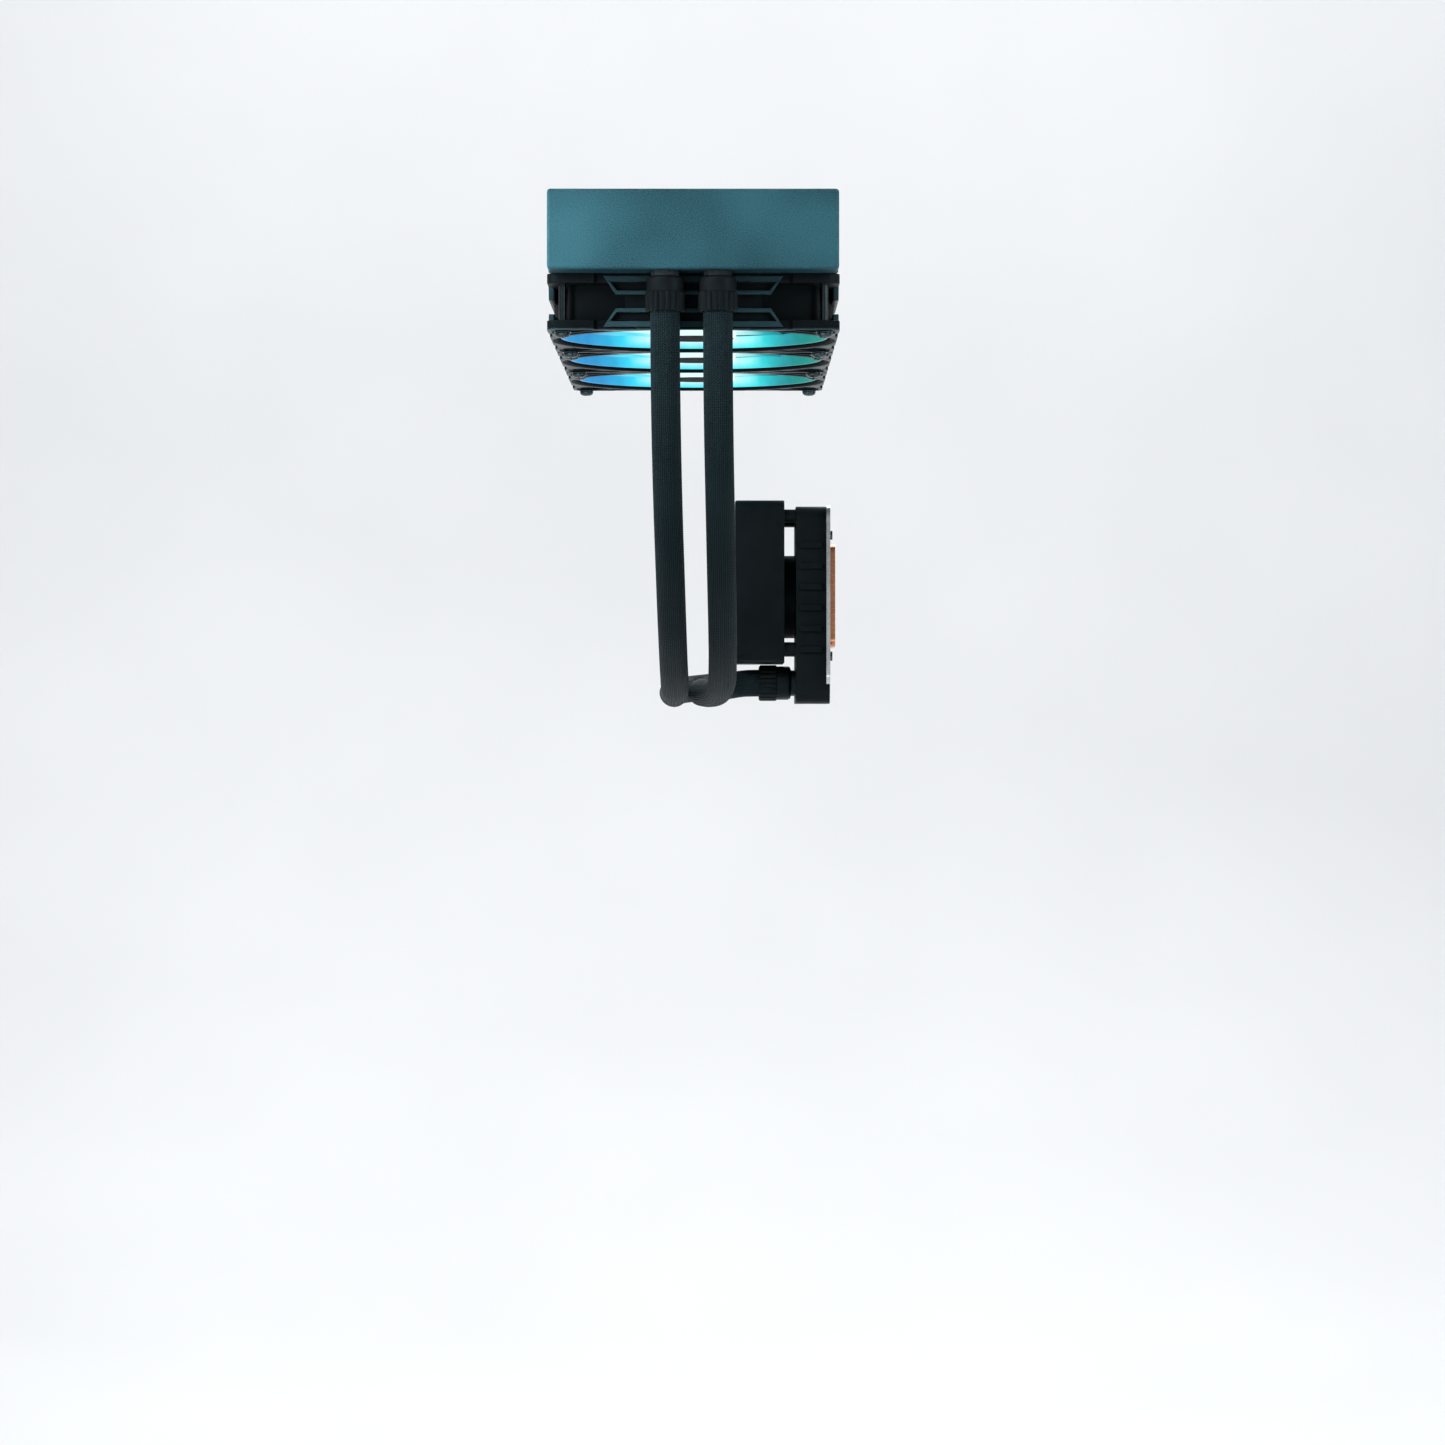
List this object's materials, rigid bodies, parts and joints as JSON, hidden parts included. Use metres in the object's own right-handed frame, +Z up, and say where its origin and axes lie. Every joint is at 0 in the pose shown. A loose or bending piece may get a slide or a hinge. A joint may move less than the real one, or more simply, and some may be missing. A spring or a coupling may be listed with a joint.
{
  "type": "liquid cooling radiator",
  "caption": "All-in-one liquid cooler: long radiator with a row of lit fans under it, two braided hoses and a pump block with a cold plate.",
  "frame": {"origin": "middle of the radiator's top mounting face, at the centre of the middle fan's hole pattern", "axes": "+Z up, out of the mounting face; +Y along the radiator from the hose tank to the far tank; +X the way the cold plate looks"},
  "size_m": [0.1435, 0.46, 0.2437],
  "materials": {
    "tank_coat": "fine textured powder coat",
    "rail_coat": "satin black coat",
    "tube_coat": "thin black coat on aluminium",
    "core_aluminium": "mill finish",
    "spigot_coat": "black anodised",
    "sleeve_plastic": "moulded, matte",
    "hose_braid": "tight braided sleeve over rubber",
    "fan_plastic": "fine spark-eroded texture",
    "rotor_glow": "milky, translucent, lit from the hub",
    "hub_plate": "matte",
    "magnet": "sintered",
    "bare_steel": "bright",
    "screw_steel": "black zinc",
    "bearing_bronze": "sintered bronze",
    "coil_copper": "lacquered copper wire",
    "led_board": "white solder mask",
    "copper": "milled copper",
    "seal_rubber": "moulded",
    "pump_plastic": "glass-filled, matte",
    "cover_plastic": "fine texture, matte",
    "impeller_plastic": "natural",
    "ceramic_shaft": "ground",
    "circuit_board": "solder mask"
  },
  "bodies": {
    "radiator": {"front_tank": "tank_coat", "rear_tank": "tank_coat", "front_header": "core_aluminium", "rear_header": "core_aluminium", "tank_divider": "core_aluminium", "flat_tubes": "tube_coat", "fin_strips": "tube_coat", "left_rail": "rail_coat", "right_rail": "rail_coat", "fill_plug": "screw_steel", "radiator_spigots": "spigot_coat", "radiator_sleeves": "sleeve_plastic", "left_hose": "hose_braid", "right_hose": "hose_braid", "fan_bearings": "bearing_bronze", "fan_stators": "coil_copper", "led_boards": "led_board", "fan_screws": "screw_steel", "fan_washers": "screw_steel", "cold_plate": "copper", "cold_plate_screws": "bare_steel", "base_gasket": "seal_rubber", "pump_base": "pump_plastic", "jet_plate": "bare_steel", "impeller_shaft": "ceramic_shaft", "pump_can": "pump_plastic", "pump_stator": "coil_copper", "motor_housing": "pump_plastic", "pump_board": "circuit_board", "small_fan_frame": "fan_plastic", "small_fan_bearing": "bearing_bronze", "small_fan_stator": "coil_copper", "block_cover": "cover_plastic", "cover_magnets": "magnet", "pump_spigots": "spigot_coat", "pump_sleeves": "sleeve_plastic", "mounting_bars": "bare_steel", "bar_screws": "bare_steel", "fan_1_frame": "fan_plastic", "fan_2_frame": "fan_plastic", "fan_3_frame": "fan_plastic"},
    "fan_1_spinner": {"fan_1_rotor": "rotor_glow", "fan_1_hub_plate": "hub_plate", "fan_1_magnet": "magnet", "fan_1_shaft": "bare_steel"},
    "fan_2_spinner": {"fan_2_rotor": "rotor_glow", "fan_2_hub_plate": "hub_plate", "fan_2_magnet": "magnet", "fan_2_shaft": "bare_steel"},
    "fan_3_spinner": {"fan_3_rotor": "rotor_glow", "fan_3_hub_plate": "hub_plate", "fan_3_magnet": "magnet", "fan_3_shaft": "bare_steel"},
    "pump_impeller": {"impeller": "impeller_plastic", "impeller_magnet": "magnet"},
    "small_fan_spinner": {"small_fan_rotor": "fan_plastic", "small_fan_shaft": "bare_steel"}
  },
  "joints": [
    {"name": "fan_1_spin", "type": "hinge", "parent": "radiator", "child": "fan_1_spinner", "pos_m": [0, -0.14, -0.052], "axis": [0, 0, 1], "continuous": true},
    {"name": "fan_2_spin", "type": "hinge", "parent": "radiator", "child": "fan_2_spinner", "pos_m": [0, 0, -0.052], "axis": [0, 0, 1], "continuous": true},
    {"name": "fan_3_spin", "type": "hinge", "parent": "radiator", "child": "fan_3_spinner", "pos_m": [0, 0.14, -0.052], "axis": [0, 0, 1], "continuous": true},
    {"name": "impeller_spin", "type": "hinge", "parent": "radiator", "child": "pump_impeller", "pos_m": [0.055, 0.069, -0.185], "axis": [1, 0, 0], "continuous": true},
    {"name": "small_fan_spin", "type": "hinge", "parent": "radiator", "child": "small_fan_spinner", "pos_m": [0.03, 0.069, -0.178], "axis": [1, 0, 0], "continuous": true}
  ]
}
